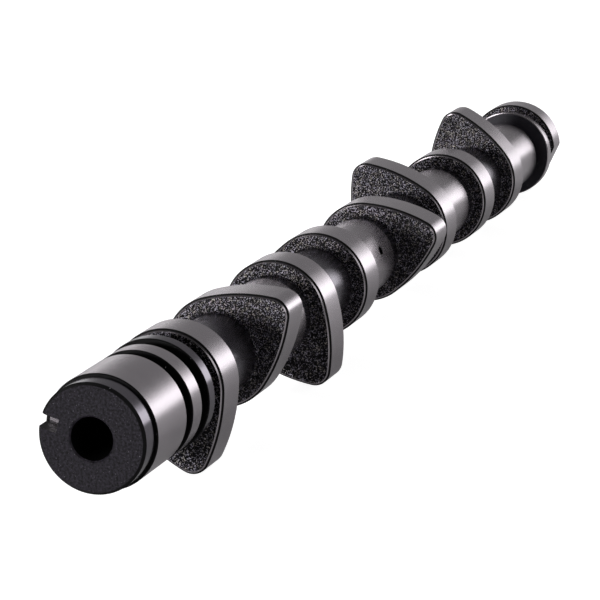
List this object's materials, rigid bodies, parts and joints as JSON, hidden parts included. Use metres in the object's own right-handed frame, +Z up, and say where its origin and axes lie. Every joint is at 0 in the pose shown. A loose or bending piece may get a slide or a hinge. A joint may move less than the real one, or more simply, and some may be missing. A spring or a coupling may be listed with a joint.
{
  "type": "camshaft",
  "caption": "Camshaft with ground lobes and bearing journals, a keyed pulley collar with a bolt bore, a thrust disc and a small rear cam.",
  "frame": {"origin": "centre of the front end face, where the bolt bore opens, on the shaft's axis", "axes": "+Z up as the shaft lies on a floor; +X runs along it from the pulley end to the rear end, with the shaft's own axis falling 1.5 degrees towards the rear"},
  "size_m": [0.4348, 0.0518, 0.0442],
  "materials": {
    "iron": "ground and as cast"
  },
  "bodies": {
    "root": {"camshaft": "iron"}
  },
  "joints": []
}
